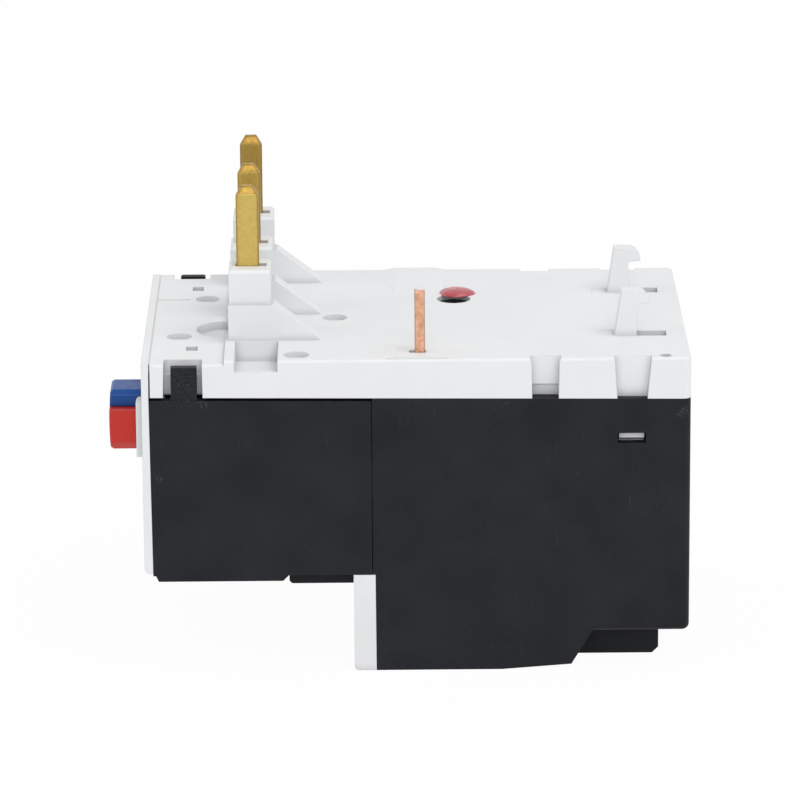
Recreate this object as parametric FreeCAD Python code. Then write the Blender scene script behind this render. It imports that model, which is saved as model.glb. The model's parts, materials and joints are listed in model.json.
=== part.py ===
"""Plug-on thermal overload relay, 45 mm class.

Frame: +Z up, the operator's face looks along -Y, origin at the bottom centre of the whole relay.
Every place along Y is written as a depth behind the front edge of the black case.
"""
import FreeCAD
import Part
import math
import os

Vector = FreeCAD.Vector

# ---------------------------------------------------------------- driving dimensions (mm)
CASE_W = 45.0            # standard width
ACROSS = CASE_W / 45.0   # scale of the places across the relay
CASE_D = 68.8            # black case, front edge to rear face
BODY_H = 41.4            # bottom of the load terminal block to the top plane
BUTTON_REACH = 5.25      # buttons ahead of the case's front edge
WALL = 1.6               # housing walls
FIT = 0.1                # between fixed pieces
RUN = 0.1                # between sliding faces
BORE_RUN = 0.06          # radial, pin in its own hole

SEAM_D = 28.25           # joint between the front and rear halves
FRONT_H = 28.5           # front half, measured down from the top plane
FRONT_GAP = 0.43         # open line between the cover and the front half
RIB_H = 0.75             # ribs and foot under the front half
FOOT_H = 2.05
FOOT_D = 17.55
FRONT_DRAFT = 0.2        # lean of the front edge, top to bottom

SKIRT_H = 5.13           # white cover, height of its sides at mid depth
RIM_TILT = 0.65          # fall of the joint line under the cover, front to rear
COVER_STAND = 0.9        # front cover ahead of the black case
SKIRT_T = 2.2
LID_T = 2.0
STEP_D = 9.6             # the lid is a little lower ahead of this line
STEP_H = 0.45
PAD_D = (30.0, 31.5, 37.0, 38.2)  # raised pads at both edges of the lid: ramp, flat, ramp
PAD_IN = 5.9             # how far the pads reach in from the sides
PAD_H = 0.3
EDGE_R = 0.35

TOWER_LEDGE = (0.8, 0.0, 0.0)     # how far each tower's base stands out beside it
TOWER_D = (10.1, 15.5)
TOWER_HALF = 3.15
TOWER_H = 9.0
BASE_H = 4.5
GUSSET_D = 21.8
GUSSET_T = 3.2
BLADE_H = 19.5           # blade tips above the top plane
BLADE_D = (11.1, 14.0)
BLADE_T = 1.3
BLADE_SLOT_D = 0.9       # free part of the slot behind each blade
LEAD_W = 2.4
LEAD_T = 1.2
PIN_X = (8.8 * ACROSS, -3.0 * ACROSS,   # blades, unevenly spaced
         SKIRT_T + LEAD_W / 2 + FIT - CASE_W / 2)

POLE_PITCH = 14.4 * ACROSS
POLES = (POLE_PITCH, 0.0, -POLE_PITCH)
AUX_PITCH = 10.4 * ACROSS
AUX_X = (-1.5 * AUX_PITCH, -0.5 * AUX_PITCH, 0.5 * AUX_PITCH, 1.5 * AUX_PITCH)

HOOK_X = 10.75 * ACROSS
HOOK_W = 2.4
HOOK_H = 5.9
HOOK_D = CASE_D - 9.1      # foot of the hooks' front face

BUTTON_X = 13.35 * ACROSS         # centre of both buttons
STOP_W = 8.3 * ACROSS
STOP_Z = (28.2, 33.7)
RESET_W = 5.9 * ACROSS
RESET_TOP = 35.85
BUTTON_TRAVEL = 2.0
BEZEL_Z = (27.65, 35.1)   # raised frame round the buttons
BEZEL_STAND = 1.8
BEZEL_RIM = 0.95
FLANGE_RIM = 0.9         # button flanges wider than their heads
FLANGE_END = 3.3
STEM_END = 9.0
SPRING_END = 14.0        # front face of the spring seat
SPRING_D = (STEM_END + FIT / 2, SPRING_END - FIT / 2)
CROWN = 0.12             # crown of the button faces, and the bevel round it
CROWN_R = 0.35

DIAL_X = -12.5 * ACROSS
DIAL_Z = 31.5
DIAL_R = 3.3
SHAFT_R = 1.0

COVER_HINGE_X = WALL + 0.9 - CASE_W / 2
COVER_HINGE_D = 0.1
COVER_X1 = 6.5 * ACROSS
COVER_Z = (27.7, 35.3)
COVER_KNUCKLE_R = 0.75
COVER_PIN_R = 0.4

BLOCK_D = 15.5           # rear face of the auxiliary terminal block
BLOCK_TOP = 26.5
AUX_SCREW_Z = 21.2
FLOOR_T = 1.2            # mechanism frame
TEST_X = (2.6 * ACROSS, 4.0 * ACROSS)
TEST_Z = (30.7, 32.3)
TEST_TRAVEL = 1.5
WINDOW_X = (-7.6 * ACROSS, -5.0 * ACROSS)
WINDOW_Z = (31.0, 33.4)

LEVER_X = AUX_X[1] + 2.0
LEVER_D = 17.5
LEVER_T = 0.8
LEVER_Z = (33.0, 35.2)
LEVER_TAIL_D = 27.3
LEVER_PIN_R = 0.8
CARRIER_D = 20.5
CARRIER_TRAVEL = 1.6
CARRIER_T = 1.8
TIP_Z = (29.4, 30.8)     # contacts

LOAD_PLATE_D = (25.85, 28.6)
LOAD_SCREW_Z = 6.6
LOAD_SCREW_R = 2.0
LOAD_TOP = 13.4          # roof of the load terminal block
POCKET_HALF = 5.6 * ACROSS
POCKET_D = (LOAD_PLATE_D[1] + 1.7, LOAD_PLATE_D[1] + 12.6)
CAGE_D = (POCKET_D[0] + 1.1, POCKET_D[1] - 0.7)
CAGE_Z = (3.2, 10.2)
CAGE_HALF = POCKET_HALF - 0.8
CAGE_T = 1.0
BAR_D = POCKET_D[0] + 3.7
BAR_T = 1.2
BAR_HALF = 3.6 * ACROSS

BIMETAL_D = (47.0, 52.0)
BIMETAL_T = 0.9
BIMETAL_TOP = 34.8
HEATER_TURNS = 6
HEATER_PITCH = 1.9
HEATER_Z = 17.0
SLIDER_TRAVEL = 2.0
SLIDER_T = 1.2
SLIDER_Z = 31.4

AUX_PIN_D = (33.8, 35.1)
AUX_PIN_T = 0.9
AUX_PIN_X = CASE_W / 2 - SKIRT_T - AUX_PIN_T / 2 - 0.15
AUX_PIN_H = 8.4
CAL_X = -7.0 * ACROSS
CAL_D = 39.2
CAL_HOLE_R = 2.2
DROP_R = 2.25            # sealing lacquer over the calibration hole
DROP_H = 0.7

LATCH_D = (2.0, 6.8)     # latch notch in the cover and the black tab in it
LATCH_DEPTH = (1.9, 2.55)
LATCH_LEDGE = 2.2
TAB_D = (2.85, 6.15)
TAB_DROP = 0.9           # tab top below the top plane
NOTCH_DEPTH = 1.5
NOTCH_PAD = 1.1          # wall behind the notches
MARKS = ((-9.5, 6.8), (9.0, 3.6), (19.8, 18.8), (1.9, 23.6))   # ejector marks: x, depth
MARK_R = 1.6
MARK_DEPTH = 0.7
DISC = (5.6 * ACROSS, 9.6, 3.9, 1.0)       # larger sunk disc: x, depth, radius, how deep
SLOT_X = 14.8 * ACROSS   # small open slots, both sides
GROOVE_X = -9.2 * ACROSS
POCKET_IN = 0.35         # pocket in the lid's right edge, beside the first tower
POCKET_EDGE = (10.9, 16.4)
NOSE_D = (CASE_D - 9.1, CASE_D - 5.9)       # snap tongues of the cover
NOSE_DROP = 10.0         # noses below the top plane

# ---------------------------------------------------------------- derived places
HALF_W = CASE_W / 2
INNER = HALF_W - WALL
FRONT_Y = BUTTON_REACH - (CASE_D + BUTTON_REACH) / 2
RIM_Z = BODY_H - SKIRT_H
FRONT_Z = BODY_H - FRONT_H
RIM_MID = 0.54           # share of the depth at which the joint line is at RIM_Z
FRONT_TOP = RIM_Z + RIM_TILT * RIM_MID - FRONT_GAP
LID_Z = BODY_H - LID_T
FRONT_FLOOR = FRONT_Z + WALL
FRAME_TOP = BLOCK_TOP + FIT + FLOOR_T
LEAD_Z = LID_Z - 2.0 - LEAD_T
SLIDER2_Z = SLIDER_Z + SLIDER_T + 0.4
BODY_EDGE = 2.0          # rear face of the front cover's inner body

parts = {}


# ---------------------------------------------------------------- shape helpers
def front_edge(z):
    """Depth of the black case's leaning front edge at a height."""
    return FRONT_DRAFT * (FRONT_TOP - z) / (FRONT_TOP - FRONT_Z)


def rim(d):
    """Height of the joint line between the cover and the case, which falls to the rear."""
    return RIM_Z + RIM_TILT * (RIM_MID - d / CASE_D)


def at(x, d, z):
    return Vector(x, FRONT_Y + d, z)


def block(x0, x1, d0, d1, z0, z1):
    return Part.makeBox(x1 - x0, d1 - d0, z1 - z0, at(x0, d0, z0))


def side_profile(points, x0, x1):
    """Outline in (depth, height), extruded across the relay from x0 to x1."""
    corners = [at(x0, d, z) for d, z in points]
    face = Part.Face(Part.makePolygon(corners + corners[:1]))
    return face.extrude(Vector(x1 - x0, 0, 0))


def front_profile(points, d0, d1):
    """Outline in (x, height), extruded from front to back."""
    corners = [at(x, d0, z) for x, z in points]
    face = Part.Face(Part.makePolygon(corners + corners[:1]))
    return face.extrude(Vector(0, d1 - d0, 0))


def plan_profile(points, z0, z1):
    """Outline in (x, depth), extruded upwards."""
    corners = [at(x, d, z0) for x, d in points]
    face = Part.Face(Part.makePolygon(corners + corners[:1]))
    return face.extrude(Vector(0, 0, z1 - z0))


def upright(x, d, z0, z1, radius):
    return Part.makeCylinder(radius, z1 - z0, at(x, d, z0))


def along_depth(x, z, d0, d1, radius):
    return Part.makeCylinder(radius, d1 - d0, at(x, d0, z), Vector(0, 1, 0))


def mirrored(shape):
    return [shape, shape.mirror(Vector(0, 0, 0), Vector(1, 0, 0))]


def join(first, others):
    return first.multiFuse(others).removeSplitter()


def on_plane(edge, axis, value):
    return all(abs(getattr(v.Point, axis) - value) < 1e-4 for v in edge.Vertexes)


def fillet(shape, radius, *planes):
    """Round the edges that lie in every one of the given (axis, value) planes."""
    picked = [e for e in shape.Edges if all(on_plane(e, a, v) for a, v in planes)]
    return shape.makeFillet(radius, picked)


def coil(x, z, d0, d1, radius, wire, turns):
    """Compression spring along the depth, lofted between square sections of the wire."""
    steps = 8
    sections = []
    for step in range(turns * steps + 1):
        angle = 2 * math.pi * step / steps
        across = Vector(math.cos(angle), 0, math.sin(angle))
        middle = at(x, d0 + wire + (d1 - d0 - 2 * wire) * step / (turns * steps), z) + across * radius
        side = Vector(0, wire, 0)
        corners = [middle - across * wire, middle - side, middle + across * wire, middle + side]
        sections.append(Part.makePolygon(corners + corners[:1]))
    return Part.makeLoft(sections, True, True)


# ---------------------------------------------------------------- white top cover
def lid_block(d0, d1, top):
    return side_profile([(d0, rim(d0)), (d0, top), (d1, top), (d1, rim(d1))], -HALF_W, HALF_W)


def lid_shell():
    front = lid_block(0.2, STEP_D, BODY_H - STEP_H)
    rear = lid_block(STEP_D, CASE_D, BODY_H)
    rear = fillet(rear, 1.0, ("y", FRONT_Y + CASE_D), ("x", HALF_W))
    rear = fillet(rear, 1.0, ("y", FRONT_Y + CASE_D), ("x", -HALF_W))
    # The round runs on from the right edge along the tangent edges, round the rear, to the left.
    rear = fillet(rear, EDGE_R, ("z", BODY_H), ("x", HALF_W))
    for side in (HALF_W, -HALF_W):
        front = fillet(front, EDGE_R, ("z", BODY_H - STEP_H), ("x", side))
    low = BODY_H - STEP_H
    pad = side_profile([(PAD_D[0], low), (PAD_D[0], BODY_H), (PAD_D[1], BODY_H + PAD_H),
                        (PAD_D[2], BODY_H + PAD_H), (PAD_D[3], BODY_H), (PAD_D[3], low)],
                       HALF_W - PAD_IN, HALF_W - EDGE_R)
    hollow = block(SKIRT_T - HALF_W, HALF_W - SKIRT_T, WALL, CASE_D - WALL, RIM_Z - 1, LID_Z)
    return join(front, [rear] + mirrored(pad)).cut(hollow)


def towers():
    """Three towers round the blades, each on a base with a sloping gusset behind it."""
    made = []
    top = BODY_H + TOWER_H
    for x, ledge in zip(PIN_X, TOWER_LEDGE):
        x0 = x - TOWER_HALF
        x1 = x + TOWER_HALF
        tower = block(x0, x1, TOWER_D[0], TOWER_D[1], LID_Z, top)
        rim = [e for e in tower.Edges if on_plane(e, "z", top)]
        tower = tower.makeChamfer(EDGE_R, rim)
        base = block(x0, x1 + ledge, TOWER_D[0] - 0.1, TOWER_D[1], LID_Z, BODY_H + BASE_H)
        gusset = side_profile([(TOWER_D[1] - 0.5, LID_Z), (TOWER_D[1] - 0.5, BODY_H + BASE_H),
                               (TOWER_D[1] + 0.4, BODY_H + BASE_H), (GUSSET_D, BODY_H),
                               (GUSSET_D, LID_Z)], x1 + ledge - GUSSET_T, x1 + ledge)
        made += [tower, base, gusset]
    return made


def blade_slots():
    half = BLADE_T / 2 + FIT
    return [block(x - half, x + half, BLADE_D[0] - FIT, BLADE_D[1] + BLADE_SLOT_D,
                  LID_Z - 2, BODY_H + TOWER_H + 1) for x in PIN_X]


def hooks():
    """Two catches that grip the contactor's base, noses to the rear."""
    top = BODY_H + HOOK_H
    outline = [(HOOK_D - 0.2, BODY_H - 0.5), (HOOK_D + 0.7, top), (HOOK_D + 3.0, top),
               (HOOK_D + 3.7, top - 0.4), (HOOK_D + 4.15, top - 1.1), (HOOK_D + 4.2, top - 1.6),
               (HOOK_D + 2.6, top - 1.75), (HOOK_D + 2.7, BODY_H - 0.5)]
    return mirrored(side_profile(outline, HOOK_X - HOOK_W / 2, HOOK_X + HOOK_W / 2))


def cover_notches():
    """Cut-outs in both sides: the latch notch at the front and two behind it."""
    low = RIM_Z - 1
    high = BODY_H + 1
    out = HALF_W + 1
    d0, d1 = LATCH_D
    latch = side_profile([(d0 - 0.2, low), (d0, high), (d1, high), (d1 + 0.1, low)],
                         HALF_W - LATCH_DEPTH[0], out)
    latch_top = block(HALF_W - LATCH_DEPTH[1], out, d0, d1, BODY_H - LATCH_LEDGE, high)
    middle = side_profile([(48.65, low), (48.55, BODY_H - 0.6), (48.0, high), (52.7, high),
                           (52.1, BODY_H - 0.6), (52.0, low)], HALF_W - NOTCH_DEPTH, out)
    middle_foot = block(HALF_W - NOTCH_DEPTH - 0.4, out, 48.7, 51.95, low, BODY_H - 3.75)
    back = side_profile([(59.5, low), (59.0, high), (63.9, high), (63.2, low)], HALF_W - 1.1, out)
    cuts = []
    for shape in (latch, latch_top, middle, middle_foot, back):
        cuts += mirrored(shape)
    return cuts


def notch_pads():
    """Thicker stretches of the skirt that close the notches from inside."""
    latch_in = HALF_W - LATCH_DEPTH[1] - NOTCH_PAD
    notch_in = HALF_W - NOTCH_DEPTH - 0.4 - NOTCH_PAD
    outer = HALF_W - SKIRT_T + 0.2
    top = LID_Z + 0.1
    latch = block(latch_in, outer, WALL - 0.1, LATCH_D[1] + 1.2, RIM_Z + 0.2, top)
    middle = block(notch_in, outer, 47.2, 53.4, RIM_Z, top)
    return mirrored(latch) + mirrored(middle)


def lid_pocket():
    """Sunk pocket in the right edge beside the first tower, open over a low lip."""
    inner = PIN_X[0] + TOWER_HALF + TOWER_LEDGE[0] + POCKET_IN
    d0, d1 = POCKET_EDGE
    well = block(inner, HALF_W - 0.9, d0, d1, BODY_H - 2.6, BODY_H + 1)
    lip = block(inner, HALF_W + 1, d0, d1, BODY_H - 1.5, BODY_H + 1)
    return [well, lip]


def lid_marks():
    """Sunk ejector marks, a larger sunk disc, a groove and the small open slots."""
    marks = []
    for x, d in MARKS:
        top = BODY_H - STEP_H if d < STEP_D else BODY_H
        marks.append(upright(x * ACROSS, d, top - MARK_DEPTH, top + 0.02, MARK_R))
    x, d, radius, deep = DISC
    disc = upright(x, d, BODY_H - STEP_H - deep, BODY_H, radius)
    ahead = block(x - radius, x + radius, 0, TOWER_D[0] - 0.1, LID_Z, BODY_H)
    marks.append(disc.common(ahead))
    marks.append(block(GROOVE_X - 0.15, GROOVE_X + 0.1, 0, 4.5, BODY_H - STEP_H - 0.5, BODY_H))
    marks += mirrored(block(SLOT_X - 1.0, SLOT_X + 1.0, 4.65, 6.1, LID_Z - 1, BODY_H))
    marks.append(upright(HALF_W - 1.1, CASE_D - 3.2, BODY_H - 0.8, BODY_H + 1, 0.73))
    scoop = side_profile([(HOOK_D - 2.4, BODY_H + 0.05), (HOOK_D - 0.3, BODY_H - 0.8),
                          (HOOK_D - 0.3, BODY_H + 0.05)], HOOK_X - 1.6, HOOK_X + 0.6)
    return marks + mirrored(scoop)


def snap_tongues():
    """Tongues under the cover whose noses snap into the rear case's side slots."""
    face = INNER - FIT
    root = RIM_Z + 0.5
    nose = BODY_H - NOSE_DROP
    outline = [(face - 1.1, nose - 2.0), (face - 1.1, root), (face, root), (face, nose + 0.05),
               (face + 0.95, nose - 0.1), (face + 0.95, nose - 0.7), (face, nose - 1.2),
               (face, nose - 2.0)]
    return mirrored(front_profile(outline, NOSE_D[0], NOSE_D[1]))


def top_cover():
    inner = PIN_X[0] + TOWER_HALF + TOWER_LEDGE[0]
    pad = block(inner - POCKET_IN, HALF_W - 0.5, POCKET_EDGE[0] - 0.9, POCKET_EDGE[1] + 0.9,
                BODY_H - 4.2, LID_Z + 0.1)
    boss = upright(CAL_X, CAL_D, LID_Z - 2.4, LID_Z + 0.1, CAL_HOLE_R + 1.0)
    solids = towers() + hooks() + snap_tongues() + notch_pads() + [pad, boss]
    shape = join(lid_shell(), solids)
    cuts = blade_slots() + cover_notches() + lid_pocket() + lid_marks()
    cuts.append(upright(CAL_X, CAL_D, LID_Z - 3, BODY_H + 1, CAL_HOLE_R))
    half = AUX_PIN_T / 2 + FIT
    cuts.append(block(AUX_PIN_X - half, AUX_PIN_X + half, AUX_PIN_D[0] - 0.7, AUX_PIN_D[1] + FIT,
                      LID_Z - 1, BODY_H + 1))
    slot = block(HOOK_X - HOOK_W / 2, HOOK_X + HOOK_W / 2, HOOK_D + 2.75, HOOK_D + 6.5,
                 LID_Z - 1, BODY_H + 1)
    return shape.cut(cuts + mirrored(slot))


# ---------------------------------------------------------------- black housings
def front_case():
    rear = SEAM_D - FIT / 2
    outer = side_profile([(0, FRONT_TOP), (rear, rim(rear) - FRONT_GAP), (rear, FRONT_Z),
                          (front_edge(FRONT_Z), FRONT_Z)], -HALF_W, HALF_W)
    room = block(-INNER, INNER, -1, SEAM_D + 1, FRONT_FLOOR, FRONT_TOP + 1)
    terminals = block(-INNER, INNER, BODY_EDGE + FIT, BLOCK_D, FRONT_Z, BLOCK_TOP)
    low = FRONT_Z - RIB_H
    rib = side_profile([(0.55, FRONT_Z), (0.9, low), (FOOT_D - 0.75, low), (FOOT_D, FRONT_Z)],
                       HALF_W - 2.0, HALF_W)
    low = FRONT_Z - FOOT_H
    foot_end = LOAD_PLATE_D[0] - FIT / 2
    foot = side_profile([(FOOT_D, FRONT_Z + 0.5), (FOOT_D, low + 0.35), (FOOT_D + 0.35, low),
                         (foot_end, low), (foot_end, FRONT_Z + 0.5)], 3 - HALF_W, HALF_W - 3)
    tab = block(HALF_W - 1.3, HALF_W - 0.15, TAB_D[0], TAB_D[1], FRONT_TOP - 1, BODY_H - TAB_DROP)
    shape = join(outer.cut(room), [terminals, foot] + mirrored(rib) + mirrored(tab))
    cuts = []
    for x in AUX_X:
        cuts.append(block(x - 4.2, x + 4.2, 3.3, 12.6, FRONT_Z - 2, BLOCK_TOP - WALL))
        cuts.append(along_depth(x, AUX_SCREW_Z, BODY_EDGE, 3.4, 2.9))
        cuts.append(block(x - 1.3, x + 1.3, 10.9, 11.9, BLOCK_TOP - WALL - 0.1, BLOCK_TOP + 0.1))
    return shape.cut(cuts)


def rear_case():
    front = SEAM_D + 0.05
    low_front = LOAD_PLATE_D[1] + 0.05
    outer = side_profile([(front, rim(front)), (CASE_D, rim(CASE_D)), (CASE_D, 5.0),
                          (56.3, 5.0), (53.7, 0.65),
                          (45.4, 0.65), (45.0, 0), (low_front, 0), (low_front, FRONT_Z),
                          (front, FRONT_Z)], -HALF_W, HALF_W)
    for side in (HALF_W, -HALF_W):
        outer = fillet(outer, 1.0, ("y", FRONT_Y + CASE_D), ("x", side))
    outer = fillet(outer, 0.8, ("y", FRONT_Y + CASE_D), ("z", 5.0))
    keel = side_profile([(52.0, 0.4), (64.3, 0.4), (65.1, 1.2), (65.1, 8.0), (52.0, 8.0)],
                        5.0 - HALF_W, HALF_W - 5.0)
    shape = join(outer, [keel])
    room = block(-INNER, INNER, front - 1, CASE_D - WALL, LOAD_TOP, RIM_Z + 1)
    well = side_profile([(44.0, 2.2), (63.5, 2.2), (63.5, LOAD_TOP + 1), (44.0, LOAD_TOP + 1)],
                        6.5 - HALF_W, HALF_W - 6.5)
    shape = shape.cut([room, well])
    walls = []
    for side in (-1, 1):
        x = side * POLE_PITCH / 2
        walls.append(block(x - 0.6, x + 0.6, 43.0, CASE_D - WALL + 0.1, 2.1, SLIDER_Z - RUN))
    shape = join(shape, walls)
    cuts = mirrored(block(INNER - 1, HALF_W + 1, NOSE_D[0] - 0.2, NOSE_D[1] + 0.2,
                          BODY_H - NOSE_DROP - 1.3, BODY_H - NOSE_DROP + 0.1))
    for x in POLES:
        cuts.append(block(x - POCKET_HALF, x + POCKET_HALF, POCKET_D[0], POCKET_D[1], -1,
                          LOAD_TOP - FLOOR_T))
        cuts.append(along_depth(x, LOAD_SCREW_Z, SEAM_D, POCKET_D[0] + 0.1, 3.5))
        cuts.append(block(x - BAR_HALF - FIT, x + BAR_HALF + FIT, BAR_D - FIT, BAR_D + BAR_T + FIT,
                          LOAD_TOP - FLOOR_T - 0.1, LOAD_TOP + 0.1))
    return shape.cut(cuts)


def terminal_cover():
    plate = block(-HALF_W, HALF_W, LOAD_PLATE_D[0], LOAD_PLATE_D[1], 0, FRONT_Z - 0.05)
    plate = fillet(plate, 0.65, ("y", FRONT_Y + LOAD_PLATE_D[0]), ("z", 0))
    holes = [along_depth(x, LOAD_SCREW_Z, 0, SEAM_D + 2, 3.6) for x in POLES]
    return plate.cut(holes)


# ---------------------------------------------------------------- front cover and its controls
def front_cover():
    low = FRONT_Z + 0.3
    top = BODY_H - STEP_H
    plate = side_profile([(-COVER_STAND, low), (-COVER_STAND, top), (0.05, top), (0.0, FRONT_TOP),
                          (front_edge(low), low)], -HALF_W, HALF_W)
    plate = fillet(plate, 0.85, ("y", FRONT_Y - COVER_STAND), ("z", low))
    body = block(FIT * 2 - INNER, INNER - FIT * 2, -0.3, BODY_EDGE, FRONT_FLOOR + FIT, RIM_Z - FIT)
    half = STOP_W / 2 + BEZEL_RIM
    bezel = side_profile([(-BEZEL_STAND, BEZEL_Z[0]), (-BEZEL_STAND, BEZEL_Z[1] - 0.3),
                          (0.3 - BEZEL_STAND, BEZEL_Z[1]), (0, BEZEL_Z[1]), (0, BEZEL_Z[0])],
                         BUTTON_X - half, BUTTON_X + half)
    shape = join(plate, [body, bezel])
    z0 = COVER_Z[0] - FIT
    z1 = COVER_Z[1] + FIT
    cuts = [block(COVER_HINGE_X - COVER_KNUCKLE_R - 0.3, COVER_X1 + 0.15, -2, 1.0, z0, z1)]
    cuts.append(upright(COVER_HINGE_X, COVER_HINGE_D, z0 - 0.75, z1 + 0.75, COVER_PIN_R + BORE_RUN))
    cuts.append(along_depth(DIAL_X, DIAL_Z, -2, 3, DIAL_R + RUN))
    cuts.append(block(TEST_X[0] - TEST_TRAVEL - RUN, TEST_X[1] + RUN, -2, 3,
                      TEST_Z[0] - RUN, TEST_Z[1] + RUN))
    cuts.append(block(WINDOW_X[0], WINDOW_X[1], -2, 3, WINDOW_Z[0], WINDOW_Z[1]))
    for shape_cut in (button_outline("stop", RUN), button_outline("reset", RUN)):
        cuts.append(front_profile(shape_cut, -2, 3))
    for x in AUX_X:
        cuts.append(along_depth(x, AUX_SCREW_Z, -2, 3, 2.9))
    return shape.cut(cuts)


def clear_cover():
    """Hinged window over the dial; its knuckle pins turn in the front cover."""
    x, d = COVER_HINGE_X, COVER_HINGE_D
    knuckle = upright(x, d, COVER_Z[0], COVER_Z[1], COVER_KNUCKLE_R)
    pane = block(x, COVER_X1, d - 0.85, d - 0.05, COVER_Z[0], COVER_Z[1])
    lip = block(COVER_X1 - 1.0, COVER_X1, d - 0.1, d + 0.6, COVER_Z[0] + 2.4, COVER_Z[1] - 2.4)
    pin = upright(x, d, COVER_Z[0] - 0.6, COVER_Z[1] + 0.6, COVER_PIN_R)
    return join(knuckle, [pane, lip, pin])


def setting_dial():
    head = along_depth(DIAL_X, DIAL_Z, 0.5, BODY_EDGE + RUN, DIAL_R)
    flange = along_depth(DIAL_X, DIAL_Z, BODY_EDGE + RUN, BODY_EDGE + 0.9, DIAL_R + 0.5)
    shaft = along_depth(DIAL_X, DIAL_Z, BODY_EDGE, 11.2, SHAFT_R)
    cam = along_depth(DIAL_X, DIAL_Z + 0.6, 5.0, 6.6, 2.1)
    slot = block(DIAL_X - 2.4, DIAL_X + 2.4, 0, 1.1, DIAL_Z - 0.4, DIAL_Z + 0.4)
    return join(head, [flange, shaft, cam]).cut(slot)


def button_outline(which, grow):
    """Front view of a button, or of its hole when grown by the clearance."""
    if which == "stop":
        half = STOP_W / 2 + grow
        low = STOP_Z[0] - grow
        high = STOP_Z[1] + grow / 2
        return [(BUTTON_X - half + 1, low), (BUTTON_X + half - 1, low), (BUTTON_X + half, low + 1),
                (BUTTON_X + half, high), (BUTTON_X - half, high), (BUTTON_X - half, low + 1)]
    half = RESET_W / 2 + grow
    low = STOP_Z[1] + grow / 2
    high = RESET_TOP + grow
    if grow == 0:
        low = STOP_Z[1] + RUN
    return [(BUTTON_X - half, low), (BUTTON_X + half, low), (BUTTON_X + half, high - 0.6),
            (BUTTON_X + half - 0.6, high), (BUTTON_X - half + 0.6, high),
            (BUTTON_X - half, high - 0.6)]


def button_face():
    """Common slightly crowned front of the two buttons, as one tall prism."""
    low = STOP_Z[0]
    face = CROWN - BUTTON_REACH
    front = Part.Arc(at(0, face, low + CROWN_R), at(0, -BUTTON_REACH, (low + RESET_TOP) / 2),
                     at(0, face, RESET_TOP - CROWN_R)).toShape()
    rest = Part.makePolygon([at(0, face, RESET_TOP - CROWN_R), at(0, face + CROWN_R, RESET_TOP),
                             at(0, 3.0, RESET_TOP), at(0, 3.0, low), at(0, face + CROWN_R, low),
                             at(0, face, low + CROWN_R)])
    return Part.Face(Part.Wire([front] + rest.Edges)).extrude(Vector(CASE_W, 0, 0))


def button(which):
    """Head with the common face, a flange behind the cover and a stem for the spring."""
    head = button_face().common(front_profile(button_outline(which, 0), -BUTTON_REACH - 1, 3.0))
    if which == "stop":
        half, stem_half = STOP_W / 2, 1.8
        z0, z1 = STOP_Z[0] + 0.05, STOP_Z[1] - 0.05
        stem_z0, stem_z1 = STOP_Z[0] + 1, STOP_Z[1] - 1
    else:
        half, stem_half = RESET_W / 2, 1.4
        z0, z1 = STOP_Z[1] + 0.15, RESET_TOP
        stem_z0, stem_z1 = STOP_Z[1] + 0.2, RESET_TOP - 0.1
    half += FLANGE_RIM
    flange = block(BUTTON_X - half, BUTTON_X + half, BODY_EDGE + RUN, FLANGE_END, z0, z1)
    stem = block(BUTTON_X - stem_half, BUTTON_X + stem_half, 2.5, STEM_END, stem_z0, stem_z1)
    return join(head, [flange, stem])


def test_slider():
    knob = block(TEST_X[0], TEST_X[1], 0.3, BODY_EDGE + 0.2, TEST_Z[0], TEST_Z[1])
    plate = block(TEST_X[0] - 2, TEST_X[1] + 2, BODY_EDGE + RUN, 3.0, TEST_Z[0] - 0.7, TEST_Z[1] + 0.7)
    return join(knob, [plate])


# ---------------------------------------------------------------- trip mechanism
def mechanism_frame():
    """Moulded carrier: floor, dial bearing, spring seat, lever pin hole and carrier rails."""
    side = INNER - 2 * FIT
    top = FRAME_TOP
    floor = block(-side, side, 3.4, SEAM_D - 0.9, BLOCK_TOP + FIT, top)
    bearing = block(DIAL_X - 1.8, DIAL_X + 1.8, 9.0, 10.6, top - 0.1, DIAL_Z + 2.0)
    left = BUTTON_X - 3.35
    end = SPRING_END + 1.4
    seat = block(left, left + 7.0, SPRING_END, end, top + 1.1, RESET_TOP + 0.1)
    seat_leg = block(left, left + 3.9, SPRING_END, end, top - 0.1, top + 1.2)
    rails = [block(x, x + 1.0, 18.8, 25.5, top - 0.1, top + 1.2) for x in (-2.6, 2.6)]
    pin_boss = upright(LEVER_X, LEVER_D, top - 0.1, LEVER_Z[0] - 2.2, 1.1)
    shape = join(floor, [bearing, seat, seat_leg, pin_boss] + rails)
    cuts = [along_depth(DIAL_X, DIAL_Z, 8.5, 12.0, SHAFT_R + BORE_RUN)]
    cuts.append(upright(LEVER_X, LEVER_D, BLOCK_TOP + 0.5, LEVER_Z[1], LEVER_PIN_R))
    cuts += [block(x - 1.3, x + 1.3, 10.9, 11.9, BLOCK_TOP, top + 0.1) for x in AUX_X]
    return shape.cut(cuts)


def lever_pin():
    return upright(LEVER_X, LEVER_D, BLOCK_TOP + 0.5, LEVER_Z[1] + 0.5, LEVER_PIN_R)


def trip_lever():
    z0, z1 = LEVER_Z
    half = LEVER_T / 2
    arm = block(LEVER_X - half, LEVER_X + half, 3.1, LEVER_TAIL_D, z0, z1)
    hub = upright(LEVER_X, LEVER_D, z0, z1, LEVER_PIN_R + 0.9)
    bore = upright(LEVER_X, LEVER_D, z0 - 1, z1 + 1, LEVER_PIN_R + BORE_RUN)
    return join(arm, [hub]).cut(bore)


def trip_flag():
    return block(LEVER_X - 1.5, LEVER_X + 1.5, 2.4, 3.1, WINDOW_Z[0] + 0.1, WINDOW_Z[1] + 0.6)


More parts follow.
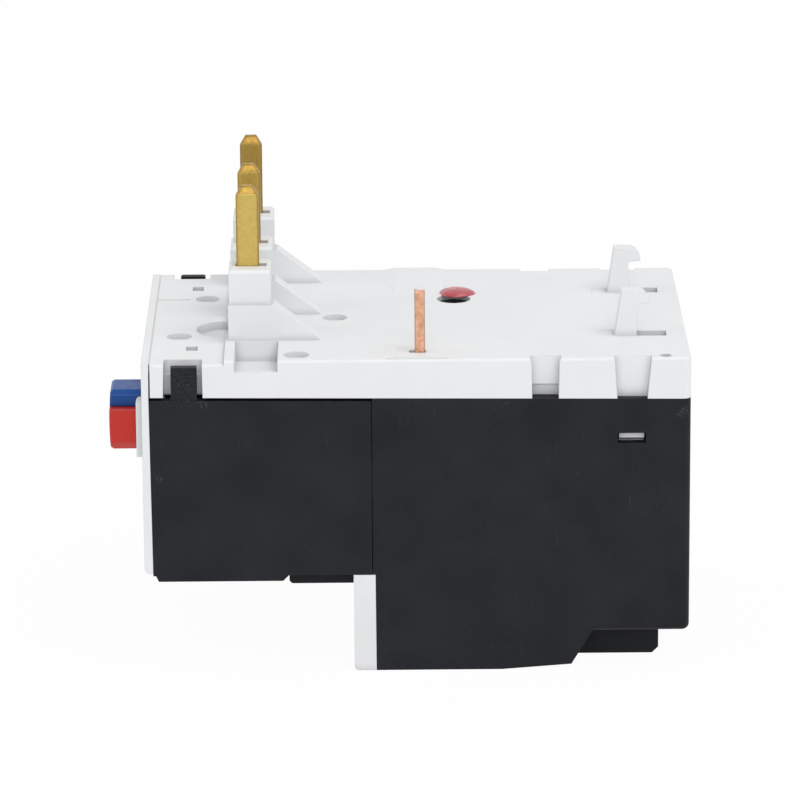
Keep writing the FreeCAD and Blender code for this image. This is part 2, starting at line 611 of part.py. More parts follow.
def contact_carrier():
    d0, d1 = CARRIER_D, CARRIER_D + CARRIER_T
    root = TIP_Z[1] + 0.3
    reach = AUX_PITCH + 2.0
    beam = block(-reach, reach, d0, d1, root, LEVER_Z[0] - 0.4)
    foot = block(-1.5, 2.5, d0, d1, FRAME_TOP + RUN, root + 0.1)
    pads = mirrored(block(reach - 4.0, reach, d0, d1, TIP_Z[0] - 0.4, root + 0.1))
    return join(beam, [foot] + pads)


def contact_bridge(pair, faces_front):
    """Strip that joins two terminals, with a silver contact near each end."""
    d1 = CARRIER_D
    z0, z1 = TIP_Z
    strip = block(pair[0] - 1.4, pair[1] + 1.4, d1 - 0.6, d1, z0 - 0.2, z1 + 0.2)
    if faces_front:
        tips = [block(x - 0.8, x + 0.8, d1 - 1.4, d1 - 0.5, z0, z1) for x in pair]
    else:
        tips = [block(x - 0.8, x + 0.8, d1 - 0.1, d1 + 0.6, z0, z1) for x in pair]
    return join(strip, tips)


def auxiliary_terminal(index):
    """Terminal plate with a neck, a finger along the frame and a fixed contact."""
    x = AUX_X[index]
    plate = block(x - 3.0, x + 3.0, 11.0, 11.8, AUX_SCREW_Z - 4.0, BLOCK_TOP - WALL - 0.1)
    neck = block(x - 1.2, x + 1.2, 11.0, 11.8, AUX_SCREW_Z, FRAME_TOP + 0.9)
    opens_on_trip = index < 2
    end = CARRIER_D - 2.1 if opens_on_trip else CARRIER_D + CARRIER_TRAVEL + 1.5
    if opens_on_trip:
        upturn = block(x - 0.8, x + 0.8, end - 0.8, end, FRAME_TOP + FIT, TIP_Z[1] + 0.2)
        tip = block(x - 0.7, x + 0.7, end - 0.1, end + 0.6, TIP_Z[0], TIP_Z[1])
    else:
        upturn = block(x - 0.8, x + 0.8, end, end + 0.8, FRAME_TOP + FIT, TIP_Z[1] + 0.2)
        tip = block(x - 0.7, x + 0.7, end - 0.7, end + 0.1, TIP_Z[0], TIP_Z[1])
        end += 0.8
    finger = block(x - 0.8, x + 0.8, 11.0, end, FRAME_TOP + FIT, FRAME_TOP + 0.9)
    hole = along_depth(x, AUX_SCREW_Z, 10, 13, 1.75)
    return join(plate, [neck, finger, upturn, tip]).cut(hole)


def auxiliary_screw(x):
    head = along_depth(x, AUX_SCREW_Z, 4.0, 6.3, 2.6)
    shaft = along_depth(x, AUX_SCREW_Z, 6.2, 12.4, 1.7)
    slot = block(x - 3, x + 3, 3.5, 4.9, AUX_SCREW_Z - 0.35, AUX_SCREW_Z + 0.35)
    return join(head, [shaft]).cut(slot)


def auxiliary_washer(x):
    plate = block(x - 3.5, x + 3.5, 6.4, 7.3, AUX_SCREW_Z - 3.5, AUX_SCREW_Z + 3.5)
    return plate.cut(along_depth(x, AUX_SCREW_Z, 6, 8, 1.8))


# ---------------------------------------------------------------- current path
def line_blade(x, pole_x):
    """Blade with a chamfered tip, bent back under the lid to its heater."""
    tip = BODY_H + BLADE_H
    half = BLADE_T / 2
    d0, d1 = BLADE_D
    side = side_profile([(d0, LEAD_Z), (d0, tip - 1.3), (d0 + 0.75, tip), (d1 - 0.75, tip),
                         (d1, tip - 1.3), (d1, LEAD_Z)], x - half, x + half)
    front = front_profile([(x - half, LEAD_Z), (x - half, tip - 1.0), (x - half + 0.35, tip),
                           (x + half - 0.35, tip), (x + half, tip - 1.0), (x + half, LEAD_Z)],
                          d0 - 1, d1 + 1)
    blade = side.common(front)
    w = LEAD_W / 2
    lead = plan_profile([(x - w, d0), (x + w, d0), (x + w, 16.0), (pole_x + w, 24.0),
                         (pole_x + w, 54.6), (pole_x - w, 54.6), (pole_x - w, 24.0), (x - w, 16.0)],
                        LEAD_Z, LEAD_Z + LEAD_T)
    return join(blade, [lead])


def bimetal(x):
    half = BIMETAL_T / 2
    return block(x - half, x + half, BIMETAL_D[0], BIMETAL_D[1], LOAD_TOP + BAR_T, BIMETAL_TOP)


def heater(x):
    """Ribbon wound round the bimetal, with a tail to the load bar and one to the line lead."""
    wide, thick, tall = 1.9, 0.5, 1.1
    d0 = BIMETAL_D[0] - 1.4
    d1 = BIMETAL_D[1] + 1.4
    pieces = []
    for turn in range(HEATER_TURNS):
        z = HEATER_Z + turn * HEATER_PITCH
        pieces.append(block(x - wide, x - wide + thick, d0, d1, z, z + tall))
        pieces.append(block(x - wide, x + wide, d1 - thick, d1, z, z + tall))
        pieces.append(block(x + wide - thick, x + wide, d0, d1, z, z + tall))
        if turn < HEATER_TURNS - 1:
            up = z + HEATER_PITCH
            pieces.append(front_profile([(x + wide, z), (x + wide, z + tall),
                                         (x - wide, up + tall), (x - wide, up)], d0, d0 + thick))
    top = HEATER_Z + (HEATER_TURNS - 1) * HEATER_PITCH
    pieces.append(block(x - 0.8, x + 0.8, d1 - 0.1, d1 + 0.5, top, LEAD_Z))
    pieces.append(block(x - wide, x - wide + 1.3, d0, d0 + thick, LOAD_TOP + BAR_T, HEATER_Z + tall))
    return join(pieces[0], pieces[1:])


def load_bar(x):
    top = LOAD_TOP + BAR_T
    outline = [(BAR_D, 2.5), (BAR_D + BAR_T, 2.5), (BAR_D + BAR_T, LOAD_TOP), (BIMETAL_D[1] + 1, LOAD_TOP),
               (BIMETAL_D[1] + 1, top), (BAR_D + 1, top), (BAR_D, top - 1)]
    return side_profile(outline, x - BAR_HALF, x + BAR_HALF)


def cage_clamp(x):
    d0, d1 = CAGE_D
    z0, z1 = CAGE_Z
    outer = block(x - CAGE_HALF, x + CAGE_HALF, d0, d1, z0, z1)
    for side in (-CAGE_HALF, CAGE_HALF):
        outer = fillet(outer, 0.8, ("x", x + side), ("y", FRONT_Y + d1))
    half = CAGE_HALF - CAGE_T
    inner = block(x - half, x + half, d0 + CAGE_T, d1 - CAGE_T, z0 - 1, z1 + 1)
    screw_hole = along_depth(x, LOAD_SCREW_Z, d0 - 1, d0 + CAGE_T + 1, LOAD_SCREW_R + BORE_RUN)
    return outer.cut([inner, screw_hole])


def load_screw(x):
    head_d = LOAD_PLATE_D[1] + 0.4
    head_end = CAGE_D[0] - 0.2
    head = along_depth(x, LOAD_SCREW_Z, head_d, head_end, 3.1)
    shaft = along_depth(x, LOAD_SCREW_Z, head_end - 0.1, BAR_D - 0.05, LOAD_SCREW_R)
    slot_a = block(x - 4, x + 4, head_d - 1, head_d + 1, LOAD_SCREW_Z - 0.4, LOAD_SCREW_Z + 0.4)
    slot_b = block(x - 0.4, x + 0.4, head_d - 1, head_d + 1, LOAD_SCREW_Z - 2, LOAD_SCREW_Z + 2)
    return join(head, [shaft]).cut([slot_a, slot_b])


def slider(z, arm):
    """Bar across the three bimetals, slotted for their free ends."""
    plate = block(POLES[2] - 3.4, POLES[0] + 3.6, BIMETAL_D[0] - 1.2, BIMETAL_D[1] + 1.2,
                  z, z + SLIDER_T)
    if arm:
        finger = block(LEVER_X - 2.8, LEVER_X - LEVER_T / 2 - 0.3, LEVER_TAIL_D - 1.1, BIMETAL_D[0],
                       z, z + SLIDER_T)
        plate = join(plate, [finger])
    half = BIMETAL_T / 2 + 0.3
    slots = [block(x - half - SLIDER_TRAVEL, x + half, BIMETAL_D[0] - 0.2, BIMETAL_D[1] + 0.2,
                   z - 1, z + SLIDER_T + 1) for x in POLES]
    return plate.cut(slots)


def auxiliary_pin():
    half = AUX_PIN_T / 2
    x = AUX_PIN_X
    low = FRAME_TOP + 1.2
    top = BODY_H + AUX_PIN_H
    pin = side_profile([(AUX_PIN_D[0], low), (AUX_PIN_D[0], top), (AUX_PIN_D[0] + 0.5, top - 0.15),
                        (AUX_PIN_D[1], top - 0.1), (AUX_PIN_D[1], low)], x - half, x + half)
    run = block(x - half, x + half, 12.0, AUX_PIN_D[1], low, low + 1.3)
    tab = block(AUX_X[3] + 1.3, x, 12.0, 13.0, low, low + 1.3)
    return join(pin, [run, tab])


def calibration_screw():
    body = upright(CAL_X, CAL_D, LID_Z - 2.4, BODY_H - 0.6, CAL_HOLE_R - FIT)
    slot = block(CAL_X - 1.6, CAL_X + 1.6, CAL_D - 0.35, CAL_D + 0.35, BODY_H - 1.4, BODY_H)
    return body.cut(slot)


def sealing_lacquer():
    """Flattened drop that lies over the far half of the calibration hole."""
    centre = at(CAL_X - 1.6, CAL_D + 0.4, BODY_H + 0.02)
    return Part.makeCone(DROP_R, DROP_R * 0.55, DROP_H, centre)


# ---------------------------------------------------------------- the whole relay
parts["top_cover"] = top_cover()
parts["front_case"] = front_case()
parts["rear_case"] = rear_case()
parts["front_cover"] = front_cover()
parts["terminal_cover"] = terminal_cover()
parts["clear_cover"] = clear_cover()
parts["setting_dial"] = setting_dial()
parts["stop_button"] = button("stop")
parts["reset_button"] = button("reset")
parts["stop_spring"] = coil(BUTTON_X, (STOP_Z[0] + STOP_Z[1]) / 2, *SPRING_D, 1.4, 0.25, 4)
parts["reset_spring"] = coil(BUTTON_X, (STOP_Z[1] + RESET_TOP) / 2, *SPRING_D, 0.75, 0.15, 5)
parts["test_slider"] = test_slider()
parts["mechanism_frame"] = mechanism_frame()
parts["lever_pin"] = lever_pin()
parts["trip_lever"] = trip_lever()
parts["trip_flag"] = trip_flag()
parts["contact_carrier"] = contact_carrier()
parts["contact_bridge_nc"] = contact_bridge(AUX_X[:2], True)
parts["contact_bridge_no"] = contact_bridge(AUX_X[2:], False)
for number in range(4):
    parts["auxiliary_terminal_%d" % (number + 1)] = auxiliary_terminal(number)
parts["auxiliary_screws"] = Part.makeCompound([auxiliary_screw(x) for x in AUX_X])
parts["auxiliary_washers"] = Part.makeCompound([auxiliary_washer(x) for x in AUX_X])
for number, (blade_x, pole_x) in enumerate(zip(PIN_X, POLES), 1):
    parts["line_blade_%d" % number] = line_blade(blade_x, pole_x)
    parts["bimetal_%d" % number] = bimetal(pole_x)
    parts["heater_%d" % number] = heater(pole_x)
    parts["load_bar_%d" % number] = load_bar(pole_x)
    parts["cage_clamp_%d" % number] = cage_clamp(pole_x)
parts["load_screws"] = Part.makeCompound([load_screw(x) for x in POLES])
parts["differential_slider"] = slider(SLIDER_Z, False)
parts["trip_slider"] = slider(SLIDER2_Z, True)
parts["auxiliary_pin"] = auxiliary_pin()
parts["calibration_screw"] = calibration_screw()
parts["sealing_lacquer"] = sealing_lacquer()

os.makedirs("parts", exist_ok=True)
for name, shape in parts.items():
    bad = not shape.isValid() or shape.Volume <= 0
    if bad:
        print("not valid:", name)
    shape.exportStep("parts/%s.step" % name)
print(len(parts), "nodes")
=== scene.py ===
"""Looks of the plug-on thermal overload relay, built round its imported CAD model.

Blender works in metres in the frame of the part: +Z up, the operator's face looks along -Y.
Places come from the boxes of the CAD nodes. Shapes are given in millimetres and scaled by MM.
"""
import json
import math

import bmesh
import bpy
from mathutils import Euler, Matrix, Vector, noise


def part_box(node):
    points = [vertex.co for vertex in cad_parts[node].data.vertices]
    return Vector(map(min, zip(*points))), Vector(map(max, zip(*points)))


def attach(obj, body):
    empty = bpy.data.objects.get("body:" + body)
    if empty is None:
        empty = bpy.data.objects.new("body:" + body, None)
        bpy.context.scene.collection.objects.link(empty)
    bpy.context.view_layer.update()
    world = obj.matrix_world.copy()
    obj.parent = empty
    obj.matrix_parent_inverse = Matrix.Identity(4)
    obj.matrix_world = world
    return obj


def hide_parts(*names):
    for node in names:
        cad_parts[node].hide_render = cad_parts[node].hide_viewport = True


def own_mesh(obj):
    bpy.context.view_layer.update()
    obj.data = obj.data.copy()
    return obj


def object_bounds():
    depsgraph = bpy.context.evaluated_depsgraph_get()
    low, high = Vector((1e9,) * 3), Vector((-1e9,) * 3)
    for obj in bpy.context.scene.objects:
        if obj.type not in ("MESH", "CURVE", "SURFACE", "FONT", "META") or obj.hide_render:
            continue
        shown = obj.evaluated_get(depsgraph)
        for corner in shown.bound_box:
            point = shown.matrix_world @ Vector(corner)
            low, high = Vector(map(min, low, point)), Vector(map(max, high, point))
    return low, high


MM = 0.001
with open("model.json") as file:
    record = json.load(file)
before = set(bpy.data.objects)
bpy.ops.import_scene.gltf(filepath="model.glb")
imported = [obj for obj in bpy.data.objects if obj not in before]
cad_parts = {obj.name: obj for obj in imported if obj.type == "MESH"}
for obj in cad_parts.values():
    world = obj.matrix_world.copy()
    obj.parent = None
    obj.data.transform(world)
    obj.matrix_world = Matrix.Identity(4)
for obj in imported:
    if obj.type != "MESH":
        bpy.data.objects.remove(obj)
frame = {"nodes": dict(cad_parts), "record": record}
cad_low, cad_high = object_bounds()
case_low, case_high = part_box("front_case")
rear_low, rear_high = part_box("rear_case")

# ---------------------------------------------------------------- places, in mm
TAB_DROP = 0.9                          # the latch tabs end this far below the top plane
HALF_W = rear_high.x / MM               # half the width of the black case
CASE_TOP = case_high.z / MM             # top of the latch tabs in the CAD
LID_TOP = CASE_TOP + TAB_DROP
SEAM_D = (rear_low.y - case_low.y) / MM     # joint between the two black halves


def at(x, depth, z):
    """Point from its mm across, behind the black case's front edge and above the base."""
    return Vector((x * MM, case_low.y + depth * MM, z * MM))


# ---------------------------------------------------------------- node helpers
MOST = (0.3, 0.7)           # band that holds most of a noise's values


def start_material(name):
    """A material with one Principled shader on its output."""
    material = bpy.data.materials.new(name)
    material.use_nodes = True
    tree = material.node_tree
    tree.nodes.clear()
    surface = tree.nodes.new("ShaderNodeBsdfPrincipled")
    output = tree.nodes.new("ShaderNodeOutputMaterial")
    tree.links.new(surface.outputs["BSDF"], output.inputs["Surface"])
    return material, tree, surface


def add(tree, kind, values=None, **settings):
    """New shader node with its settings and the values of its unlinked inputs."""
    made = tree.nodes.new("ShaderNode" + kind)
    for key, value in settings.items():
        setattr(made, key, value)
    for key, value in (values or {}).items():
        made.inputs[key].default_value = value
    return made


def noise_of(tree, size_mm, detail=3.0, stretch=(1, 1, 1), rough=0.5, shift_mm=0.0):
    """Noise whose features are about size_mm wide, longer along any axis with stretch over 1."""
    place = add(tree, "TexCoord")
    mapping = add(tree, "Mapping")
    mapping.inputs["Scale"].default_value = [1 / part for part in stretch]
    mapping.inputs["Location"].default_value = [shift_mm * MM] * 3
    values = {"Scale": 1 / (size_mm * MM), "Detail": detail, "Roughness": rough}
    texture = add(tree, "TexNoise", values)
    tree.links.new(place.outputs["Object"], mapping.inputs["Vector"])
    tree.links.new(mapping.outputs["Vector"], texture.inputs["Vector"])
    return texture.outputs["Fac"]


def ramp(tree, source, low, high, out_low=0.0, out_high=1.0):
    """Clamped straight map of source from low..high to out_low..out_high."""
    values = {"From Min": low, "From Max": high, "To Min": out_low, "To Max": out_high}
    made = add(tree, "MapRange", values)
    tree.links.new(source, made.inputs["Value"])
    return made.outputs["Result"]


def times(tree, first, second):
    """Product of two values, each a number or a socket."""
    made = add(tree, "Math", operation="MULTIPLY")
    for socket, value in zip(made.inputs, (first, second)):
        if isinstance(value, float):
            socket.default_value = value
        else:
            tree.links.new(value, socket)
    return made.outputs["Value"]


def blend_colour(tree, factor, first, second):
    """Mix of two colours, each an RGB triple or a colour socket."""
    made = add(tree, "Mix", data_type="RGBA")
    tree.links.new(factor, made.inputs["Factor"])
    colours = [s for s in made.inputs if s.type == "RGBA"]
    for socket, value in zip(colours, (first, second)):
        if isinstance(value, tuple):
            socket.default_value = (*value, 1)
        else:
            tree.links.new(value, socket)
    return [s for s in made.outputs if s.type == "RGBA"][0]


def lay_over(tree, under, mask, strength, over):
    """Colour under with colour over on it, where mask is 1, at the given strength."""
    return blend_colour(tree, times(tree, mask, strength), under, over)


def edge_round(tree, radius_mm):
    """Normal of edges softened to a small radius."""
    return add(tree, "Bevel", {"Radius": radius_mm * MM}, samples=6).outputs["Normal"]


def edge_mask(tree, rounded):
    """1 along softened edges and 0 on flat faces."""
    flat = add(tree, "NewGeometry")
    dot = add(tree, "VectorMath", operation="DOT_PRODUCT")
    tree.links.new(rounded, dot.inputs[0])
    tree.links.new(flat.outputs["True Normal"], dot.inputs[1])
    return ramp(tree, dot.outputs["Value"], 0.995, 0.85)


def pressed_slopes(tree):
    """1 on the slopes of a pressed tip, 0 on upright and level faces: the mask of painted dark
    reflection.
    """
    flat = add(tree, "NewGeometry")
    parts = add(tree, "SeparateXYZ")
    tree.links.new(flat.outputs["True Normal"], parts.inputs["Vector"])
    leaning = ramp(tree, parts.outputs["Z"], 0.15, 0.3)
    not_level = ramp(tree, parts.outputs["Z"], 0.98, 0.9)
    return times(tree, leaning, not_level)


def bump(tree, height, strength, depth_mm, normal=None):
    """Normal with a relief of depth_mm on it."""
    made = add(tree, "Bump", {"Strength": strength, "Distance": depth_mm * MM})
    tree.links.new(height, made.inputs["Height"])
    if normal is not None:
        tree.links.new(normal, made.inputs["Normal"])
    return made.outputs["Normal"]


def hollow(tree, reach_mm):
    """1 deep in corners and cavities, 0 on open faces, from ambient occlusion: the mask of
    painted shade.
    """
    shade = add(tree, "AmbientOcclusion", {"Distance": reach_mm * MM}, samples=8)
    return ramp(tree, shade.outputs["AO"], 0.92, 0.35)


def nearness(tree, place, radius_mm):
    """Soft spot, 1 near one point of the object and 0 from radius_mm on."""
    spot = add(tree, "TexCoord")
    gap = add(tree, "VectorMath", operation="DISTANCE")
    tree.links.new(spot.outputs["Object"], gap.inputs[0])
    gap.inputs[1].default_value = place
    return ramp(tree, gap.outputs["Value"], radius_mm * MM, 0.2 * radius_mm * MM)


def smudge(tree, place, radius_mm):
    """Ragged spot round one point of the object."""
    near = nearness(tree, place, radius_mm)
    ragged = noise_of(tree, 0.22, detail=4.0, shift_mm=23)
    return times(tree, near, ramp(tree, ragged, 0.5, 0.62))


def seen_share(tree):
    """1 for what the camera, a gloss or clear plastic shows, 0 for light on the object."""
    rays = add(tree, "LightPath")
    share = rays.outputs["Is Camera Ray"]
    for kind in ("Is Glossy Ray", "Is Transmission Ray"):
        either = add(tree, "Math", operation="MAXIMUM")
        tree.links.new(share, either.inputs[0])
        tree.links.new(rays.outputs[kind], either.inputs[1])
        share = either.outputs["Value"]
    return share


# ---------------------------------------------------------------- materials
EDGE_HIGHLIGHT = 0.7             # share of the painted highlight colour on a moulding's edges
SLOPE_DARK_REFLECTION = 0.85          # share of the dark tone painted on the slopes of a strip's pressed tips, as a painted dark reflection


def moulded_plastic(name, colour, shade, rough, bevel_mm=0.12, grain=0.25, specular=0.4,
                    edge=None, hollow_shade=None):
    """Satin moulding: faint cloudy shade, very fine spark-eroded grain, softened edges; optional
    painted shade in hollows and painted highlight on edges.
    """
    material, tree, surface = start_material(name)
    cloud = ramp(tree, noise_of(tree, 9.0, detail=4.0), *MOST)
    tint = blend_colour(tree, cloud, colour, shade)
    rounded = edge_round(tree, bevel_mm)
    if hollow_shade:
        # Painted shade: the colour darkens towards the given grey in corners and cavities.
        tint = blend_colour(tree, hollow(tree, 1.3), tint, hollow_shade)
    # Painted highlight: the edges are lightened towards the edge colour.
    if edge:
        tint = lay_over(tree, tint, edge_mask(tree, rounded), EDGE_HIGHLIGHT, edge)
    tree.links.new(tint, surface.inputs["Base Color"])
    pits = noise_of(tree, 0.06, detail=2.0, rough=0.6)
    tree.links.new(bump(tree, pits, grain, 0.004, rounded), surface.inputs["Normal"])
    patches = noise_of(tree, 1.6, detail=3.0, shift_mm=7)
    tree.links.new(ramp(tree, patches, *MOST, rough - 0.05, rough + 0.06),
                   surface.inputs["Roughness"])
    surface.inputs["Specular IOR Level"].default_value = specular
    return material


SCUFF_GREY = (0.2, 0.2, 0.21)
SCUFFS = (       # grey rub marks on the black case: place, radius in mm, strength
    (at(HALF_W, 67.8, 34.2), 1.1, 0.3),
    (at(HALF_W, 1.2, 26.0), 0.7, 0.3),
    (at(HALF_W, 7.0, 35.8), 0.8, 0.3),
    (at(HALF_W, 4.6, 38.0), 4.0, 0.12),
    (at(HALF_W, 64.0, 22.0), 5.0, 0.05),
    (at(HALF_W, 45.4, 35.4), 0.5, 0.15),
)


def black_plastic(name):
    """Near-black moulding with dust specks, faint upright scuffs and paler rubbed edges."""
    material, tree, surface = start_material(name)
    rounded = edge_round(tree, 0.14)
    cloud = ramp(tree, noise_of(tree, 7.0, detail=4.0), *MOST)
    tint = blend_colour(tree, cloud, (0.0125, 0.0135, 0.0165), (0.019, 0.020, 0.0235))
    patches = ramp(tree, noise_of(tree, 1.2, detail=3.0), 0.4, 0.7)
    rubbed = times(tree, edge_mask(tree, rounded), patches)
    tint = lay_over(tree, tint, rubbed, 0.5, (0.09, 0.09, 0.1))
    dusty = ramp(tree, noise_of(tree, 8.0, detail=2.0, shift_mm=31), 0.50, 0.66)
    specks = ramp(tree, noise_of(tree, 0.16, detail=1.0, shift_mm=3), 0.72, 0.80)
    tint = lay_over(tree, tint, times(tree, specks, dusty), 0.22, (0.3, 0.3, 0.31))
    upright = noise_of(tree, 0.4, detail=2.0, stretch=(1, 1, 7), shift_mm=11)
    streaks = ramp(tree, upright, 0.60, 0.74)
    hazy = ramp(tree, noise_of(tree, 5.0, detail=2.0, shift_mm=57), 0.52, 0.70)
    tint = lay_over(tree, tint, times(tree, streaks, hazy), 0.08, (0.12, 0.12, 0.13))
    for spot, radius_mm, strength in SCUFFS:
        tint = lay_over(tree, tint, smudge(tree, spot, radius_mm), strength, SCUFF_GREY)
    tree.links.new(tint, surface.inputs["Base Color"])
    pits = noise_of(tree, 0.07, detail=2.0, rough=0.6)
    tree.links.new(bump(tree, pits, 0.3, 0.005, rounded), surface.inputs["Normal"])
    sheen = ramp(tree, noise_of(tree, 2.5, detail=3.0, shift_mm=19), *MOST, 0.46, 0.53)
    tree.links.new(sheen, surface.inputs["Roughness"])
    surface.inputs["Specular IOR Level"].default_value = 0.12
    return material


def rolled_metal(name, colour, dark, rough, stretch, streak=0.55, bevel_mm=0.1, edge=0.0,
                 shade_spot=None):
    """Stamped strip: rolling lines along the strip, patina blotches, and, where edge is given,
    painted dark reflections on its edges and on the slopes of pressed tips.

    The last argument is the place, the radius in mm and the strength of one soft spot of painted
    shade.
    """
    material, tree, surface = start_material(name)
    blotch = ramp(tree, noise_of(tree, 0.7, detail=5.0, rough=0.65), 0.38, 0.72)
    lines = ramp(tree, noise_of(tree, 0.22, detail=2.0, stretch=stretch), 0.35, 0.7)
    patina = times(tree, blotch, ramp(tree, lines, 0.0, 1.0, 0.5, 1.0))
    tint = lay_over(tree, colour, patina, streak, dark)
    rounded = edge_round(tree, bevel_mm)
    if edge:
        # Painted dark reflections: the edges and the slopes of pressed tips take the dark tone.
        tint = lay_over(tree, tint, edge_mask(tree, rounded), edge, dark)
        tint = lay_over(tree, tint, pressed_slopes(tree), SLOPE_DARK_REFLECTION, dark)
    # Painted shade: one soft dark spot round a given place.
    if shade_spot:
        spot, radius_mm, strength = shade_spot
        tint = lay_over(tree, tint, nearness(tree, spot, radius_mm), strength, dark)
    tree.links.new(tint, surface.inputs["Base Color"])
    surface.inputs["Metallic"].default_value = 1.0
    tree.links.new(ramp(tree, blotch, 0.0, 1.0, rough - 0.06, rough + 0.12),
                   surface.inputs["Roughness"])
    tree.links.new(bump(tree, lines, 0.35, 0.008, rounded), surface.inputs["Normal"])
    return material


def clear_plastic(name):
    """Clear moulding with a faint flow pattern in its gloss."""
    material, tree, surface = start_material(name)
    surface.inputs["Base Color"].default_value = (0.93, 0.96, 0.97, 1)
    surface.inputs["Transmission Weight"].default_value = 1.0
    surface.inputs["IOR"].default_value = 1.35
    flow = noise_of(tree, 2.0, detail=3.0, stretch=(4, 1, 1))
    tree.links.new(ramp(tree, flow, *MOST, 0.03, 0.09), surface.inputs["Roughness"])
    tree.links.new(bump(tree, flow, 0.15, 0.01, edge_round(tree, 0.1)), surface.inputs["Normal"])
    return material


def lacquer(name):
    """Thin red sealing lacquer, paler where it is thin and full of fine grains."""
    material, tree, surface = start_material(name)
    grains = ramp(tree, noise_of(tree, 0.25, detail=3.0), 0.45, 0.7)
    thin = ramp(tree, noise_of(tree, 1.3, detail=2.0, shift_mm=5), 0.35, 0.65)
    tint = blend_colour(tree, thin, (0.36, 0.022, 0.040), (0.48, 0.05, 0.075))
    tint = lay_over(tree, tint, grains, 0.16, (0.70, 0.28, 0.32))
    tree.links.new(tint, surface.inputs["Base Color"])
    tree.links.new(ramp(tree, grains, 0.0, 1.0, 0.18, 0.4), surface.inputs["Roughness"])
    surface.inputs["Coat Weight"].default_value = 0.4
    tree.links.new(bump(tree, grains, 0.5, 0.04), surface.inputs["Normal"])
    return material


def floor_material(white_share):
    """White to the camera and in reflections, with only a faint shadow of the object."""
    material, tree, surface = start_material("pale_floor")
    surface.inputs["Base Color"].default_value = (0.9, 0.9, 0.9, 1)
    surface.inputs["Roughness"].default_value = 0.8
    white = add(tree, "Emission", {"Color": (1, 1, 1, 1), "Strength": 1.0})
    mix = add(tree, "MixShader")
    tree.links.new(times(tree, seen_share(tree), white_share), mix.inputs["Fac"])
    tree.links.new(surface.outputs["BSDF"], mix.inputs[1])
    tree.links.new(white.outputs["Emission"], mix.inputs[2])
    output = [n for n in tree.nodes if n.type == "OUTPUT_MATERIAL"][0]
    tree.links.new(mix.outputs["Shader"], output.inputs["Surface"])
    return material


blade_low, blade_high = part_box("line_blade_3")
BLADE_TIP = ((blade_low.x + blade_high.x) / 2, blade_low.y, blade_high.z)
BLADE_SHADE = (BLADE_TIP, 22.0, 0.55)     # painted shade: a soft dark spot that makes the left blade the darkest

MATERIALS = {       # by the record's material slot
    "white_plastic": moulded_plastic(
        "white_plastic", (0.79, 0.80, 0.812), (0.765, 0.775, 0.787), rough=0.5,
        # painted shade colour in corners and cavities
        hollow_shade=(0.56, 0.57, 0.58)),
    "black_plastic": black_plastic("black_plastic"),
    # the edge colours of the red and blue mouldings are painted highlights
    "red_plastic": moulded_plastic(
        "red_plastic", (0.57, 0.034, 0.025), (0.51, 0.028, 0.021), rough=0.4,
        bevel_mm=0.3, grain=0.12, specular=0.25, edge=(0.62, 0.16, 0.14)),
    "blue_plastic": moulded_plastic(
        "blue_plastic", (0.003, 0.062, 0.27), (0.002, 0.052, 0.24), rough=0.4,
        bevel_mm=0.3, grain=0.12, specular=0.3, edge=(0.06, 0.13, 0.36)),
    "frame_plastic": moulded_plastic(
        "natural_plastic", (0.60, 0.54, 0.42), (0.55, 0.49, 0.38), rough=0.5),
    "flag_plastic": moulded_plastic(
        "orange_plastic", (0.75, 0.2, 0.02), (0.68, 0.17, 0.015), rough=0.45),
    "dial_plastic": moulded_plastic(
        "dial_plastic", (0.70, 0.71, 0.72), (0.66, 0.67, 0.68), rough=0.42, bevel_mm=0.2),
    "brass": rolled_metal(
        "brass", (0.62, 0.46, 0.135), (0.27, 0.16, 0.035), rough=0.34, stretch=(1, 1, 14),
        streak=0.42, bevel_mm=0.6, edge=0.9, shade_spot=BLADE_SHADE),
    "contact_brass": rolled_metal(
        "contact_brass", (0.72, 0.52, 0.24), (0.4, 0.25, 0.1), rough=0.32, stretch=(1, 10, 1)),
    "copper": rolled_metal(
        "copper", (0.82, 0.48, 0.32), (0.33, 0.12, 0.06), rough=0.30, stretch=(1, 1, 10),
        streak=0.8, bevel_mm=0.3, edge=0.9),
    "zinc_steel": rolled_metal(
        "zinc_steel", (0.62, 0.63, 0.64), (0.42, 0.42, 0.40), rough=0.30, stretch=(1, 3, 1),
        streak=0.4),
    "spring_steel": rolled_metal(
        "spring_steel", (0.60, 0.60, 0.61), (0.35, 0.34, 0.33), rough=0.25, stretch=(3, 1, 3),
        streak=0.4, bevel_mm=0.03),
    "bimetal": rolled_metal(
        "bimetal_strip", (0.58, 0.56, 0.53), (0.40, 0.36, 0.31), rough=0.32, stretch=(1, 1, 12)),
    "heater_alloy": rolled_metal(
        "heater_ribbon", (0.45, 0.43, 0.41), (0.24, 0.20, 0.17), rough=0.38, stretch=(1, 8, 1),
        streak=0.6, bevel_mm=0.05),
    "clear_plastic": clear_plastic("clear_plastic"),
    "lacquer": lacquer("lacquer"),
}


def dress_cad_nodes():
    """Every CAD node takes the material of its slot."""
    for part in frame["record"]["subparts"]:
        node = frame["nodes"][part["node"]]
        node.data.materials.clear()
        node.data.materials.append(MATERIALS[part["material_slot"]])
        node.data.shade_flat()


# ---------------------------------------------------------------- pieces made here
def place_piece(name, mesh, body, slot):
    """Put a finished mesh into the scene on a body, with the finish of a record slot."""
    piece = bpy.data.objects.new(name, mesh)
    bpy.context.scene.collection.objects.link(piece)
    mesh.materials.append(MATERIALS[slot])
    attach(piece, body)
    return piece


def mesh_of(form, name, smooth=False):
    """Mesh of a finished bmesh, with its normals outwards."""
    bmesh.ops.recalc_face_normals(form, faces=form.faces)
    mesh = bpy.data.meshes.new(name)
    form.to_mesh(mesh)
    form.free()
    if smooth:
        mesh.shade_smooth()
    return mesh


